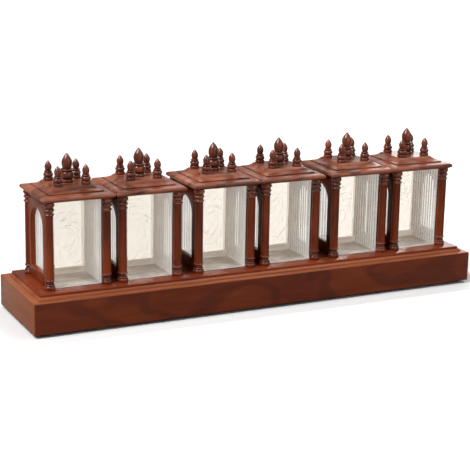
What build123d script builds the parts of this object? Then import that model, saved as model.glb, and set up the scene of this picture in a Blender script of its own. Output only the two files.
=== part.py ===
from build123d import *
import os

# Digital alarm clock: six wooden pavilions on a plinth, each holding ten clear digit plates.
# Millimetres, +X along the clock, -Y to the front, +Z up, origin on the table under the middle.

# Plinth: its margins are from the outer columns' middles to the rails' outer faces
PLINTH_END_MARGIN = 14.45
PLINTH_FRONT_MARGIN = 14.75
RAIL_HEIGHT = 19.0
RAIL_THICKNESS = 9.0
RAIL_EDGE_RADIUS = 0.8
FELT_THICKNESS = 0.6
FELT_INSET = 1.0
COVER_THICKNESS = 1.4
COVER_INSET = 3.5

# Platform board on the rails
PLATFORM_INSET = 5.4
PLATFORM_RISE = 3.2
BEAD_SIZE = 1.4
BEAD_RADIUS = 1.2
TONGUE_DEPTH = 4.0

# Pavilions, in three pairs: gaps between roofs, and what sets the columns round the plates
ROOF_GAP_IN_PAIR = 0.7
ROOF_GAP_BETWEEN_PAIRS = 4.8
PLATE_SIDE_GAP = 1.1
COLUMN_STANDOFF = 2.2
COLUMN_HEIGHT = 52.1

# Turned pieces are drawn with this many flats, which keeps fifty-four of them light
TURNED_SIDES = 12

# Turned column: radii from foot to top, and the heights where they change
COLUMN_FOOT_RADIUS = 3.35
COLUMN_FOOT_HEIGHT = 2.3
COLUMN_WAIST_RADIUS = 2.35
COLUMN_WAIST_HEIGHT = 3.8
COLUMN_SHAFT_RADIUS = 2.6
COLUMN_SHAFT_START = 5.4
COLUMN_SHAFT_END = 45.2
COLUMN_RING_RADIUS = 3.15
COLUMN_RING_HEIGHT = 46.3
COLUMN_NECK_RADIUS = 2.3
COLUMN_NECK_HEIGHT = 48.0
COLUMN_CAPITAL_RADIUS = 3.4

# Arched side panel, let into grooves in the columns
PANEL_THICKNESS = 3.0
PANEL_GROOVE_DEPTH = 1.0
ARCH_RADIUS = 11.2
ARCH_SPRING_HEIGHT = 33.8
SILL_HEIGHT = 7.5

# Roof: insets from the eave and heights above its underside
ROOF_OVERHANG = 1.3
ROOF_SOFFIT_INSET = 1.5
ROOF_EAVE_HEIGHT = 1.5
ROOF_NOSE_INSET = 1.3
ROOF_NOSE_HEIGHT = 2.9
ROOF_STEP_INSET = 5.5
ROOF_SLOPE_HEIGHT = 3.7
ROOF_STEP_RISE = 0.4
ROOF_STEP_LEDGE = 0.4
ROOF_COVE_SAG = 0.4
ROOF_TOP_INSET = 10.6
ROOF_HEIGHT = 6.9
ROOF_POCKET_DEPTH = 1.2
ROOF_POCKET_CLEARANCE = 0.2

# Finials: radii and heights above the roof
FINIAL_EDGE_GAP = 0.15
SMALL_FOOT_RADIUS = 3.0
SMALL_FOOT_HEIGHT = 2.4
SMALL_SHOULDER_RADIUS = 2.2
SMALL_SHOULDER_HEIGHT = 5.4
SMALL_BUD_RADIUS = 2.1
SMALL_BUD_HEIGHT = 8.2
SMALL_HEIGHT = 12.0
LARGE_FOOT_RADIUS = 4.1
LARGE_FOOT_HEIGHT = 2.1
LARGE_BULB_RADIUS = 4.2
LARGE_BULB_HEIGHT = 5.0
LARGE_NECK_RADIUS = 3.0
LARGE_NECK_HEIGHT = 7.6
LARGE_BUD_RADIUS = 3.2
LARGE_BUD_HEIGHT = 12.0
LARGE_HEIGHT = 17.6

# Digit plates and the comb that holds their feet
PLATES_PER_DIGIT = 10
PLATE_WIDTH = 30.2
PLATE_THICKNESS = 2.5
PLATE_PITCH = 3.4
PLATE_TOP_GAP = 0.3
COMB_MARGIN = 0.95
COMB_LIGHT_GAP = 0.2
COMB_SLOT_CLEARANCE = 0.1

# Boards and parts inside the plinth
BOARD_THICKNESS = 1.6
BOARD_CLEARANCE_BELOW = 1.4
BOARD_MARGIN = 1.0
POST_WIDTH = 4.0
POST_PEG_WIDTH = 2.0
POST_SNAP_WIDTH = 3.0
POST_SNAP_HEIGHT = 0.8
POST_END_MARGIN = 8.0
LED_BAR_WIDTH = 4.0
LED_BAR_HEIGHT = 1.4
DRIVER_LENGTH = 9.9
DRIVER_WIDTH = 3.9
DRIVER_HEIGHT = 1.7
CONTROLLER_SIZE = 10.0
CONTROLLER_HEIGHT = 1.2
CLOCK_CHIP_LENGTH = 10.3
CLOCK_CHIP_WIDTH = 7.5
CLOCK_CHIP_HEIGHT = 2.4
CRYSTAL_LENGTH = 8.0
CRYSTAL_WIDTH = 3.8
CRYSTAL_HEIGHT = 2.5
CRYSTAL_GAP = 2.8
CELL_RADIUS = 6.25
CELL_THICKNESS = 2.0
CELL_HOLDER_SIZE = 14.6
CELL_HOLDER_FLOOR = 1.0
CELL_HOLDER_HEIGHT = 3.6
CELL_HOLDER_CLEARANCE = 0.15
BUZZER_SIZE = 9.0
BUZZER_HEIGHT = 4.0

# Power jack behind a round hole in the back rail
JACK_WIDTH = 9.0
JACK_DEPTH = 13.5
JACK_HEIGHT = 11.0
JACK_AXIS_HEIGHT = 6.5
JACK_BORE_RADIUS = 3.1
JACK_BORE_DEPTH = 9.5
JACK_PIN_RADIUS = 1.0
INLET_RADIUS = 6.0

# Push keys in a shallow pocket of the back rail
KEY_WIDTH = 8.0
KEY_HEIGHT = 5.0
KEY_CLEARANCE = 0.2
KEY_PITCH = 13.0
KEY_AXIS_HEIGHT = 4.2
KEY_STANDOUT = 1.5
KEY_CHAMFER = 0.4
KEY_TRAVEL = 1.0
KEY_FLANGE_MARGIN = 1.0
KEY_FLANGE_THICKNESS = 1.2
KEY_POCKET_DEPTH = 2.0
KEY_POCKET_MARGIN = 3.0
SWITCH_WIDTH = 6.0
SWITCH_HEIGHT = 6.6
SWITCH_DEPTH = 2.6
SWITCH_PLUNGER_WIDTH = 2.6
SWITCH_PLUNGER_LENGTH = 1.0
SWITCH_GAP = 0.1

# Plan sizes that follow from the sizes above
STACK_DEPTH = (PLATES_PER_DIGIT - 1) * PLATE_PITCH + PLATE_THICKNESS
COMB_WIDTH = PLATE_WIDTH + 2 * COMB_MARGIN
COMB_DEPTH = STACK_DEPTH + 2 * COMB_MARGIN
COLUMN_SPACING_X = PLATE_WIDTH + 2 * PLATE_SIDE_GAP + PANEL_THICKNESS
COLUMN_SPACING_Y = STACK_DEPTH + 2 * COLUMN_STANDOFF
ROOF_EAVE_HALF = COLUMN_SPACING_X / 2 + COLUMN_CAPITAL_RADIUS + ROOF_OVERHANG
ROOF_TOP_HALF = ROOF_EAVE_HALF - ROOF_TOP_INSET
FINIAL_OFFSET = ROOF_TOP_HALF - SMALL_FOOT_RADIUS - FINIAL_EDGE_GAP
PITCH_IN_PAIR = 2 * ROOF_EAVE_HALF + ROOF_GAP_IN_PAIR
PITCH_BETWEEN_PAIRS = 2 * ROOF_EAVE_HALF + ROOF_GAP_BETWEEN_PAIRS
PLINTH_LENGTH = 3 * PITCH_IN_PAIR + 2 * PITCH_BETWEEN_PAIRS + COLUMN_SPACING_X + 2 * PLINTH_END_MARGIN
PLINTH_DEPTH = COLUMN_SPACING_Y + 2 * PLINTH_FRONT_MARGIN
INNER_LENGTH = PLINTH_LENGTH - 2 * RAIL_THICKNESS
INNER_DEPTH = PLINTH_DEPTH - 2 * RAIL_THICKNESS
BACK_OUTER = PLINTH_DEPTH / 2
BACK_INNER = INNER_DEPTH / 2
BOARD_LENGTH = INNER_LENGTH - 2 * BOARD_MARGIN
BOARD_DEPTH = INNER_DEPTH - 2 * BOARD_MARGIN
STRIP_MIDDLE = (COMB_DEPTH + BOARD_DEPTH) / 4

# Levels that follow from the sizes above
RAIL_BOTTOM = FELT_THICKNESS + COVER_THICKNESS
RAIL_TOP = RAIL_BOTTOM + RAIL_HEIGHT
PLATFORM_TOP = RAIL_TOP + PLATFORM_RISE
PLATFORM_UNDERSIDE = RAIL_TOP - TONGUE_DEPTH
SOFFIT = PLATFORM_TOP + COLUMN_HEIGHT
ROOF_TOP = SOFFIT + ROOF_HEIGHT
BOARD_BOTTOM = RAIL_BOTTOM + BOARD_CLEARANCE_BELOW
BOARD_TOP = BOARD_BOTTOM + BOARD_THICKNESS
PLATE_FOOT = BOARD_TOP + LED_BAR_HEIGHT
KEY_AXIS_Z = BOARD_TOP + KEY_AXIS_HEIGHT
JACK_AXIS_Z = BOARD_TOP + JACK_AXIS_HEIGHT


def pavilion_places():
    """Middle of each pavilion along X, left to right."""
    pair_middles = [(pair - 1) * (PITCH_IN_PAIR + PITCH_BETWEEN_PAIRS) for pair in range(3)]
    return [middle + side * PITCH_IN_PAIR / 2 for middle in pair_middles for side in (-1, 1)]


def block(x_size, y_size, z_size, x=0.0, y=0.0, bottom=0.0):
    """Box standing on the given level."""
    return Pos(x, y, bottom) * Box(x_size, y_size, z_size, align=(Align.CENTER, Align.CENTER, Align.MIN))


def ring_points(radius, height):
    """Corners of one ring of a turned piece, or its single tip at radius 0."""
    if not radius:
        return [Vector(0, 0, height)] * TURNED_SIDES
    return [Vector(radius, 0, height).rotate(Axis.Z, 360 * step / TURNED_SIDES) for step in range(TURNED_SIDES)]


def turned(outline):
    """Turned piece through (radius, height) points, ending flat or, at radius 0, in a point."""
    rings = [ring_points(radius, height) for radius, height in outline]
    faces = [Face(Wire.make_polygon(rings[0]))]
    for lower, upper in zip(rings, rings[1:]):
        for step in range(TURNED_SIDES):
            after = (step + 1) % TURNED_SIDES
            corners = [lower[step], lower[after], upper[after], upper[step]]
            if upper[after] == upper[step]:
                corners.pop()
            faces.append(Face(Wire.make_polygon(corners)))
    if outline[-1][0]:
        faces.append(Face(Wire.make_polygon(rings[-1])))
    return Solid(Shell(faces))


def rail(length):
    """One plinth rail along X, outer face at y = 0, mitred at both ends, top outer edge rounded."""
    bar = block(length, RAIL_THICKNESS, RAIL_HEIGHT, y=RAIL_THICKNESS / 2, bottom=RAIL_BOTTOM)
    top_outer = bar.edges().filter_by(Axis.X).sort_by(Axis.Z)[-2:].sort_by(Axis.Y)[0]
    bar = fillet(top_outer, RAIL_EDGE_RADIUS)
    half = length / 2
    mitre = Polyline((-half, 0), (half, 0), (half - RAIL_THICKNESS, RAIL_THICKNESS),
                     (-half + RAIL_THICKNESS, RAIL_THICKNESS), close=True)
    wedge = Pos(0, 0, RAIL_BOTTOM) * extrude(make_face(mitre), RAIL_HEIGHT)
    return bar & wedge


def front_rail():
    """Front rail of the plinth."""
    return Pos(0, -PLINTH_DEPTH / 2, 0) * rail(PLINTH_LENGTH)


def back_rail():
    """Back rail with the inlet hole, and the pocket and openings of the push keys."""
    placed = Pos(0, PLINTH_DEPTH / 2, 0) * Rot(0, 0, 180) * rail(PLINTH_LENGTH)
    middle = (BACK_OUTER + BACK_INNER) / 2
    placed -= Pos(jack_x(), middle, JACK_AXIS_Z) * Rot(90, 0, 0) * Cylinder(INLET_RADIUS, RAIL_THICKNESS)
    pocket_length = 2 * KEY_PITCH + KEY_WIDTH + 2 * KEY_POCKET_MARGIN
    pocket_height = KEY_HEIGHT + 2 * KEY_POCKET_MARGIN
    pocket_middle = BACK_OUTER - KEY_POCKET_DEPTH / 2
    placed -= Pos(key_places()[1], pocket_middle, KEY_AXIS_Z) * Box(
        pocket_length, KEY_POCKET_DEPTH, pocket_height)
    for x in key_places():
        placed -= Pos(x, middle, KEY_AXIS_Z) * Box(
            KEY_WIDTH + 2 * KEY_CLEARANCE, RAIL_THICKNESS, KEY_HEIGHT + 2 * KEY_CLEARANCE)
    return placed


def end_rail(side):
    """Left (-1) or right (1) rail of the plinth."""
    return Pos(side * PLINTH_LENGTH / 2, 0, 0) * Rot(0, 0, side * 90) * rail(PLINTH_DEPTH)


def platform_board():
    """Board on the rails: a tongue inside them, a bead round the foot and a window for each comb."""
    length = PLINTH_LENGTH - 2 * PLATFORM_INSET
    depth = PLINTH_DEPTH - 2 * PLATFORM_INSET
    bead = block(length + 2 * BEAD_RADIUS, depth + 2 * BEAD_RADIUS, BEAD_SIZE, bottom=RAIL_TOP)
    bead = fillet(bead.faces().sort_by(Axis.Z)[-1].edges(), BEAD_RADIUS)
    board = bead + block(length, depth, PLATFORM_RISE, bottom=RAIL_TOP)
    board += block(INNER_LENGTH, INNER_DEPTH, TONGUE_DEPTH, bottom=PLATFORM_UNDERSIDE)
    thickness = PLATFORM_RISE + TONGUE_DEPTH
    for x in pavilion_places():
        board -= block(COMB_WIDTH, COMB_DEPTH, thickness, x, bottom=PLATFORM_UNDERSIDE)
    return board


def bottom_cover():
    """Black cover under the rails."""
    return block(PLINTH_LENGTH - 2 * COVER_INSET, PLINTH_DEPTH - 2 * COVER_INSET, COVER_THICKNESS,
                 bottom=FELT_THICKNESS)


def felt_pad():
    """Felt sheet glued under the cover, over its screws."""
    inset = COVER_INSET + FELT_INSET
    return block(PLINTH_LENGTH - 2 * inset, PLINTH_DEPTH - 2 * inset, FELT_THICKNESS)


def column(groove_side):
    """Turned column whose shaft has the groove that takes the side panel's tongue."""
    outline = [
        (COLUMN_FOOT_RADIUS, 0),
        (COLUMN_FOOT_RADIUS, COLUMN_FOOT_HEIGHT),
        (COLUMN_WAIST_RADIUS, COLUMN_WAIST_HEIGHT),
        (COLUMN_SHAFT_RADIUS, COLUMN_SHAFT_START),
        (COLUMN_SHAFT_RADIUS, COLUMN_SHAFT_END),
        (COLUMN_RING_RADIUS, COLUMN_RING_HEIGHT),
        (COLUMN_NECK_RADIUS, COLUMN_NECK_HEIGHT),
        (COLUMN_CAPITAL_RADIUS, COLUMN_HEIGHT),
    ]
    depth = 2 * PANEL_GROOVE_DEPTH
    middle = groove_side * (COLUMN_SHAFT_RADIUS - PANEL_GROOVE_DEPTH + depth / 2)
    groove = block(PANEL_THICKNESS, depth, COLUMN_SHAFT_END - COLUMN_SHAFT_START, y=middle,
                   bottom=COLUMN_SHAFT_START)
    return turned(outline) - groove


def column_row(side):
    """Front (-1) or back (1) row of columns."""
    piece = column(-side)
    places = [x + corner * COLUMN_SPACING_X / 2 for x in pavilion_places() for corner in (-1, 1)]
    return Compound(children=[Pos(x, side * COLUMN_SPACING_Y / 2, PLATFORM_TOP) * piece for x in places])


def side_panel():
    """Arched panel in the YZ plane with a tongue on each edge, its foot at z = 0."""
    panel = block(PANEL_THICKNESS, COLUMN_SPACING_Y - 2 * COLUMN_CAPITAL_RADIUS, COLUMN_HEIGHT)
    tongue_length = COLUMN_SPACING_Y - 2 * (COLUMN_SHAFT_RADIUS - PANEL_GROOVE_DEPTH)
    panel += block(PANEL_THICKNESS, tongue_length, COLUMN_SHAFT_END - COLUMN_SHAFT_START,
                   bottom=COLUMN_SHAFT_START)
    opening = block(PANEL_THICKNESS, 2 * ARCH_RADIUS, ARCH_SPRING_HEIGHT - SILL_HEIGHT, bottom=SILL_HEIGHT)
    arch = Pos(0, 0, ARCH_SPRING_HEIGHT) * Rot(0, 90, 0) * Cylinder(ARCH_RADIUS, PANEL_THICKNESS)
    return panel - (opening + arch)


def panel_row(side):
    """Left (-1) or right (1) side panels of all pavilions."""
    piece = side_panel()
    offset = side * COLUMN_SPACING_X / 2
    return Compound(children=[Pos(x + offset, 0, PLATFORM_TOP) * piece for x in pavilion_places()])


def roof_bar():
    """Roof section swept straight along Y: bevelled eave, nose, slope, step and cove."""
    step_height = ROOF_SLOPE_HEIGHT + ROOF_STEP_RISE
    step_half = ROOF_EAVE_HALF - ROOF_STEP_INSET
    ledge_half = step_half - ROOF_STEP_LEDGE
    cove_middle = ((ledge_half + ROOF_TOP_HALF) / 2 - ROOF_COVE_SAG,
                   (step_height + ROOF_HEIGHT) / 2 - ROOF_COVE_SAG)
    lines = [
        Polyline((0, 0), (ROOF_EAVE_HALF - ROOF_SOFFIT_INSET, 0), (ROOF_EAVE_HALF, ROOF_EAVE_HEIGHT),
                 (ROOF_EAVE_HALF - ROOF_NOSE_INSET, ROOF_NOSE_HEIGHT), (step_half, ROOF_SLOPE_HEIGHT),
                 (step_half, step_height), (ledge_half, step_height)),
        ThreePointArc((ledge_half, step_height), cove_middle, (ROOF_TOP_HALF, ROOF_HEIGHT)),
        Polyline((ROOF_TOP_HALF, ROOF_HEIGHT), (0, ROOF_HEIGHT), (0, 0)),
    ]
    half = make_face(Plane.XZ * Curve(children=lines))
    bar = extrude(half, ROOF_EAVE_HALF, both=True)
    return bar + mirror(bar, Plane.YZ)


def roof():
    """Hipped roof: two crossed bars meet in mitred hips, with a pocket below for the plate tops."""
    bar = roof_bar()
    hipped = bar & (Rot(0, 0, 90) * bar)
    pocket_width = PLATE_WIDTH + 2 * ROOF_POCKET_CLEARANCE
    pocket_length = STACK_DEPTH + 2 * ROOF_POCKET_CLEARANCE
    return hipped - block(pocket_width, pocket_length, ROOF_POCKET_DEPTH)


def small_finial():
    """Turned corner finial."""
    return turned([
        (SMALL_FOOT_RADIUS, 0),
        (SMALL_FOOT_RADIUS, SMALL_FOOT_HEIGHT),
        (SMALL_SHOULDER_RADIUS, SMALL_SHOULDER_HEIGHT),
        (SMALL_BUD_RADIUS, SMALL_BUD_HEIGHT),
        (0, SMALL_HEIGHT),
    ])


def large_finial():
    """Turned finial in the middle of a roof."""
    return turned([
        (LARGE_FOOT_RADIUS, 0),
        (LARGE_FOOT_RADIUS, LARGE_FOOT_HEIGHT),
        (LARGE_BULB_RADIUS, LARGE_BULB_HEIGHT),
        (LARGE_NECK_RADIUS, LARGE_NECK_HEIGHT),
        (LARGE_BUD_RADIUS, LARGE_BUD_HEIGHT),
        (0, LARGE_HEIGHT),
    ])


def finial_row(side):
    """Front (-1) or back (1) row of corner finials."""
    piece = small_finial()
    places = [x + corner * FINIAL_OFFSET for x in pavilion_places() for corner in (-1, 1)]
    return Compound(children=[Pos(x, side * FINIAL_OFFSET, ROOF_TOP) * piece for x in places])


def centre_finials():
    """Large finials, one on each roof."""
    piece = large_finial()
    return Compound(children=[Pos(x, 0, ROOF_TOP) * piece for x in pavilion_places()])


def plate_rows():
    """Middle of each plate along Y, front to back."""
    return [(i - (PLATES_PER_DIGIT - 1) / 2) * PLATE_PITCH for i in range(PLATES_PER_DIGIT)]


def digit_plates(x):
    """Ten clear plates, standing on the light bar and reaching into the roof's pocket."""
    height = SOFFIT + ROOF_POCKET_DEPTH - PLATE_TOP_GAP - PLATE_FOOT
    return Compound(children=[block(PLATE_WIDTH, PLATE_THICKNESS, height, x, y, PLATE_FOOT) for y in plate_rows()])


def light_comb(x):
    """Slotted block flush with the platform, which holds the plates apart above their lights."""
    bottom = PLATE_FOOT + COMB_LIGHT_GAP
    height = PLATFORM_TOP - bottom
    comb = block(COMB_WIDTH, COMB_DEPTH, height, x, bottom=bottom)
    slot_width = PLATE_WIDTH + 2 * COMB_SLOT_CLEARANCE
    slot_depth = PLATE_THICKNESS + 2 * COMB_SLOT_CLEARANCE
    return comb - [block(slot_width, slot_depth, height, x, y, bottom) for y in plate_rows()]


def post_places():
    """Board posts near the board's corners, between the combs and its long edges."""
    x_offset = BOARD_LENGTH / 2 - POST_END_MARGIN
    return [(x, y) for x in (-x_offset, x_offset) for y in (-STRIP_MIDDLE, STRIP_MIDDLE)]


def main_board():
    """Circuit board that carries the lights, the switches and the jack."""
    board = block(BOARD_LENGTH, BOARD_DEPTH, BOARD_THICKNESS, bottom=BOARD_BOTTOM)
    return board - [block(POST_PEG_WIDTH, POST_PEG_WIDTH, BOARD_THICKNESS, x, y, BOARD_BOTTOM)
                    for x, y in post_places()]


def board_posts():
    """Snap posts that hang the board from the platform."""
    posts = []
    for x, y in post_places():
        post = block(POST_WIDTH, POST_WIDTH, PLATFORM_UNDERSIDE - BOARD_TOP, x, y, BOARD_TOP)
        post += block(POST_PEG_WIDTH, POST_PEG_WIDTH, BOARD_THICKNESS, x, y, BOARD_BOTTOM)
        post += block(POST_SNAP_WIDTH, POST_SNAP_WIDTH, POST_SNAP_HEIGHT, x, y, BOARD_BOTTOM - POST_SNAP_HEIGHT)
        posts.append(post)
    return Compound(children=posts)


def led_bars():
    """A bar of ten lights under each plate stack."""
    return Compound(children=[block(LED_BAR_WIDTH, STACK_DEPTH, LED_BAR_HEIGHT, x, bottom=BOARD_TOP)
                              for x in pavilion_places()])


def driver_chips():
    """One driver chip for each digit, along the front edge of the board."""
    return Compound(children=[block(DRIVER_LENGTH, DRIVER_WIDTH, DRIVER_HEIGHT, x, -STRIP_MIDDLE, BOARD_TOP)
                              for x in pavilion_places()])


def between(first):
    """Middle of the gap between a pavilion and the next one, where tall parts fit."""
    places = pavilion_places()
    return (places[first] + places[first + 1]) / 2


def jack_x():
    """The power jack stands between the last two combs."""
    return between(4)


def controller_chip():
    """Controller in the middle of the board."""
    return block(CONTROLLER_SIZE, CONTROLLER_SIZE, CONTROLLER_HEIGHT, between(2), bottom=BOARD_TOP)


def clock_chip():
    """Timekeeping chip between the first two combs."""
    return block(CLOCK_CHIP_WIDTH, CLOCK_CHIP_LENGTH, CLOCK_CHIP_HEIGHT, between(0), bottom=BOARD_TOP)


def crystal():
    """Crystal beside the timekeeping chip."""
    y = CLOCK_CHIP_LENGTH / 2 + CRYSTAL_GAP + CRYSTAL_LENGTH / 2
    return block(CRYSTAL_WIDTH, CRYSTAL_LENGTH, CRYSTAL_HEIGHT, between(0), y, BOARD_TOP)


def cell_holder():
    """Tray for the backup cell."""
    tray = block(CELL_HOLDER_SIZE, CELL_HOLDER_SIZE, CELL_HOLDER_HEIGHT, between(1), bottom=BOARD_TOP)
    well = 2 * (CELL_RADIUS + CELL_HOLDER_CLEARANCE)
    depth = CELL_HOLDER_HEIGHT - CELL_HOLDER_FLOOR
    return tray - block(well, well, depth, between(1), bottom=BOARD_TOP + CELL_HOLDER_FLOOR)


def backup_cell():
    """Coin cell lying in its holder."""
    cell = Cylinder(CELL_RADIUS, CELL_THICKNESS, align=(Align.CENTER, Align.CENTER, Align.MIN))
    return Pos(between(1), 0, BOARD_TOP + CELL_HOLDER_FLOOR) * cell


def buzzer():
    """Alarm sounder."""
    return block(BUZZER_SIZE, BUZZER_SIZE, BUZZER_HEIGHT, between(3), bottom=BOARD_TOP)


def power_jack():
    """Barrel jack, its mouth against the inlet hole, with a centre pin."""
    body = block(JACK_WIDTH, JACK_DEPTH, JACK_HEIGHT, jack_x(), BACK_INNER - JACK_DEPTH / 2, BOARD_TOP)
    middle = BACK_INNER - JACK_BORE_DEPTH / 2
    along_y = Pos(jack_x(), middle, JACK_AXIS_Z) * Rot(90, 0, 0)
    body -= along_y * Cylinder(JACK_BORE_RADIUS, JACK_BORE_DEPTH)
    return body + along_y * Cylinder(JACK_PIN_RADIUS, JACK_BORE_DEPTH)


def key_places():
    """Middle of each push key along X, behind the second pavilion."""
    return [pavilion_places()[1] + step * KEY_PITCH for step in (-1, 0, 1)]


def push_key(x):
    """Push key with a flange that keeps it behind the rail."""
    front = BACK_OUTER - KEY_POCKET_DEPTH + KEY_STANDOUT
    length = front - BACK_INNER
    key = Pos(x, front - length / 2, KEY_AXIS_Z) * Box(KEY_WIDTH, length, KEY_HEIGHT)
    face = key.faces().sort_by(Axis.Y)[-1]
    key = chamfer(face.edges(), KEY_CHAMFER)
    flange = Box(KEY_WIDTH + 2 * KEY_FLANGE_MARGIN, KEY_FLANGE_THICKNESS, KEY_HEIGHT + 2 * KEY_FLANGE_MARGIN)
    return key + Pos(x, BACK_INNER - KEY_FLANGE_THICKNESS / 2, KEY_AXIS_Z) * flange


def key_switches():
    """Side-facing switches behind the keys, clear of them at full travel."""
    tip = BACK_INNER - KEY_FLANGE_THICKNESS - KEY_TRAVEL - SWITCH_GAP
    face = tip - SWITCH_PLUNGER_LENGTH
    switches = []
    for x in key_places():
        switch = block(SWITCH_WIDTH, SWITCH_DEPTH, SWITCH_HEIGHT, x, face - SWITCH_DEPTH / 2, BOARD_TOP)
        plunger = Box(SWITCH_PLUNGER_WIDTH, SWITCH_PLUNGER_LENGTH, SWITCH_PLUNGER_WIDTH)
        switches.append(switch + Pos(x, face + SWITCH_PLUNGER_LENGTH / 2, KEY_AXIS_Z) * plunger)
    return Compound(children=switches)


def all_nodes():
    """Every node's name with its shape."""
    nodes = {
        "front_rail": front_rail(),
        "back_rail": back_rail(),
        "left_rail": end_rail(-1),
        "right_rail": end_rail(1),
        "platform_board": platform_board(),
        "bottom_cover": bottom_cover(),
        "felt_pad": felt_pad(),
        "front_columns": column_row(-1),
        "back_columns": column_row(1),
        "left_panels": panel_row(-1),
        "right_panels": panel_row(1),
        "front_finials": finial_row(-1),
        "back_finials": finial_row(1),
        "centre_finials": centre_finials(),
        "main_board": main_board(),
        "board_posts": board_posts(),
        "led_bars": led_bars(),
        "driver_chips": driver_chips(),
        "controller_chip": controller_chip(),
        "clock_chip": clock_chip(),
        "crystal": crystal(),
        "cell_holder": cell_holder(),
        "backup_cell": backup_cell(),
        "buzzer": buzzer(),
        "power_jack": power_jack(),
        "key_switches": key_switches(),
    }
    for name, x in zip(("hour_key", "minute_key", "alarm_key"), key_places()):
        nodes[name] = push_key(x)
    roof_piece = roof()
    for number, x in enumerate(pavilion_places(), 1):
        nodes[f"roof_{number}"] = Pos(x, 0, SOFFIT) * roof_piece
        nodes[f"digit_plates_{number}"] = digit_plates(x)
        nodes[f"light_comb_{number}"] = light_comb(x)
    return nodes


os.makedirs("parts", exist_ok=True)
for node_name, shape in all_nodes().items():
    export_step(shape, f"parts/{node_name}.step")
    print(node_name, round(shape.volume, 3), shape.is_valid)
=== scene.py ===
"""Looks of a six-digit clock of wooden pavilions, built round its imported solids."""
import logging
import math
from collections.abc import Callable
from dataclasses import dataclass, field
from enum import Enum, IntEnum

import bpy
from mathutils import Matrix, Vector


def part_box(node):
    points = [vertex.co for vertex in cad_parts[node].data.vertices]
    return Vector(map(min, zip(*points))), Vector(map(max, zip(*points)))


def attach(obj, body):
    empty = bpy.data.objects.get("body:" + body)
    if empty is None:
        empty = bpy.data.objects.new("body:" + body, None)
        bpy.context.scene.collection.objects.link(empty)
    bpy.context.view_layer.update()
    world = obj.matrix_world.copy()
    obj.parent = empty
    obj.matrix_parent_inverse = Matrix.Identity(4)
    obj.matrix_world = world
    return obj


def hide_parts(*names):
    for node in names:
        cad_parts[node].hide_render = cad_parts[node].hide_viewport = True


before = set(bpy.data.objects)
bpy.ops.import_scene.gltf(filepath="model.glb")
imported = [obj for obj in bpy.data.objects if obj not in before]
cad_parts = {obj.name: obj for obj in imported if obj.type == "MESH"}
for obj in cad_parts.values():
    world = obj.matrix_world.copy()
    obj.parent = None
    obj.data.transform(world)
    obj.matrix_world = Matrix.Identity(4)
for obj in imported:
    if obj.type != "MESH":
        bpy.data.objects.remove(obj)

MM = 0.001
NEAR = 0.1 * MM
ALONG, ACROSS = 0.9, 0.1
DIGITS = range(1, 7)
KEY_NAMES = ("hour_key", "minute_key", "alarm_key")
KEY_FLANGE = 1.0 * MM
JACK_HEIGHT = 11.5 * MM
BOUNCES = 64
SHARP = 60.0
LOG = logging.getLogger("clock")

Triple = tuple[float, float, float]
Colour = Triple
Outline = list[tuple[float, float]]
Heights = tuple[tuple[float, float], ...]
Test = Callable[[Vector, Vector], bool]


class Grain(Enum):
    """Which way the wood's grain runs."""

    ALONG_X = (0.13, 1.0, 1.0)
    ALONG_Y = (1.0, 0.13, 1.0)
    ALONG_Z = (1.0, 1.0, 0.13)


class PlateSlot(IntEnum):
    """Material slots of a stack of plates."""

    CLEAR = 0
    EDGE = 1
    CHAMFER = 2
    OUTER = 3
    RIM = 4
    BACK_RIM = 5
    LINE = 6
    FOOT = 7


# Shader drawing


class Wire:
    """A shader socket that Python's operators join to others with Math nodes."""

    def __init__(self, sheet: "Sheet", socket: bpy.types.NodeSocket) -> None:
        """Keeps the socket and the sheet it is drawn on."""
        self.sheet = sheet
        self.socket = socket

    def joined(self, operation: str, other: "Wire | float") -> "Wire":
        """Joins this value and another by one Math node."""
        return self.sheet.node("ShaderNodeMath", {"operation": operation}, {0: self, 1: other})

    def __add__(self, other: "Wire | float") -> "Wire":
        """Sum."""
        return self.joined("ADD", other)

    def __sub__(self, other: "Wire | float") -> "Wire":
        """Difference."""
        return self.joined("SUBTRACT", other)

    def __mul__(self, other: "Wire | float") -> "Wire":
        """Product."""
        return self.joined("MULTIPLY", other)

    def __pow__(self, other: "Wire | float") -> "Wire":
        """Power."""
        return self.joined("POWER", other)


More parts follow.
